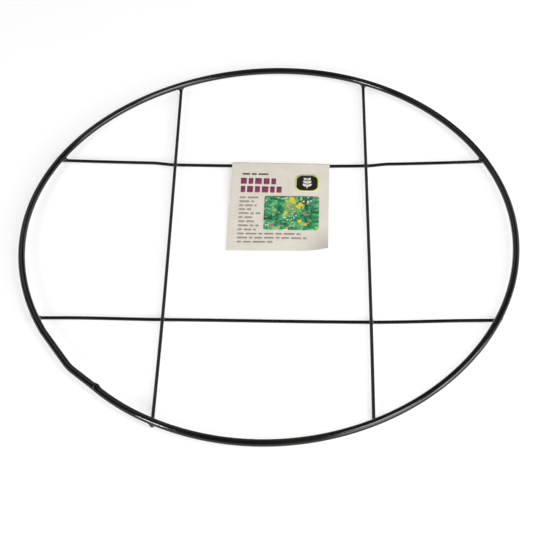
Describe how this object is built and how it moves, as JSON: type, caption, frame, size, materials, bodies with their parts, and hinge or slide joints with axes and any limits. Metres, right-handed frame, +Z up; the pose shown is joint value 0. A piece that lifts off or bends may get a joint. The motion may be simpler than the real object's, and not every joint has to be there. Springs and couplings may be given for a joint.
{
  "type": "plant support frame",
  "caption": "Round wire grid top of a plant support, dipped in black plastic, with a folded card label that turns on its back wire.",
  "frame": {"origin": "on the floor under the middle of the ring's box, with the ring lying flat", "axes": "+Z up, square to the ring; +Y to the back, where the label's wire is; +X along the back and front wires"},
  "size_m": [0.4008, 0.4006, 0.0101],
  "materials": {
    "steel": "drawn steel rod, sealed under the plastic",
    "plastic_skin": "glossy black dipped plastic with a slight olive tint",
    "card": "off-white printed card, slightly satin"
  },
  "bodies": {
    "frame": {"ring_rod": "steel", "ring_weld": "steel", "left_wire": "steel", "right_wire": "steel", "back_wire": "steel", "front_wire": "steel", "ring_coat": "plastic_skin", "left_wire_coat": "plastic_skin", "right_wire_coat": "plastic_skin", "back_wire_coat": "plastic_skin", "front_wire_coat": "plastic_skin", "left_front_web": "plastic_skin", "left_back_web": "plastic_skin", "right_front_web": "plastic_skin", "right_back_web": "plastic_skin", "back_left_web": "plastic_skin", "back_right_web": "plastic_skin", "front_left_web": "plastic_skin", "front_right_web": "plastic_skin", "cross_back_left_web": "plastic_skin", "cross_back_right_web": "plastic_skin", "cross_front_left_web": "plastic_skin", "cross_front_right_web": "plastic_skin"},
    "label": {"label_card": "card"}
  },
  "joints": [
    {"name": "label_swing", "type": "hinge", "parent": "frame", "child": "label", "pos_m": [0.00893, 0.08384, 0.00201], "axis": [1, -0.0075, 0], "continuous": true}
  ]
}
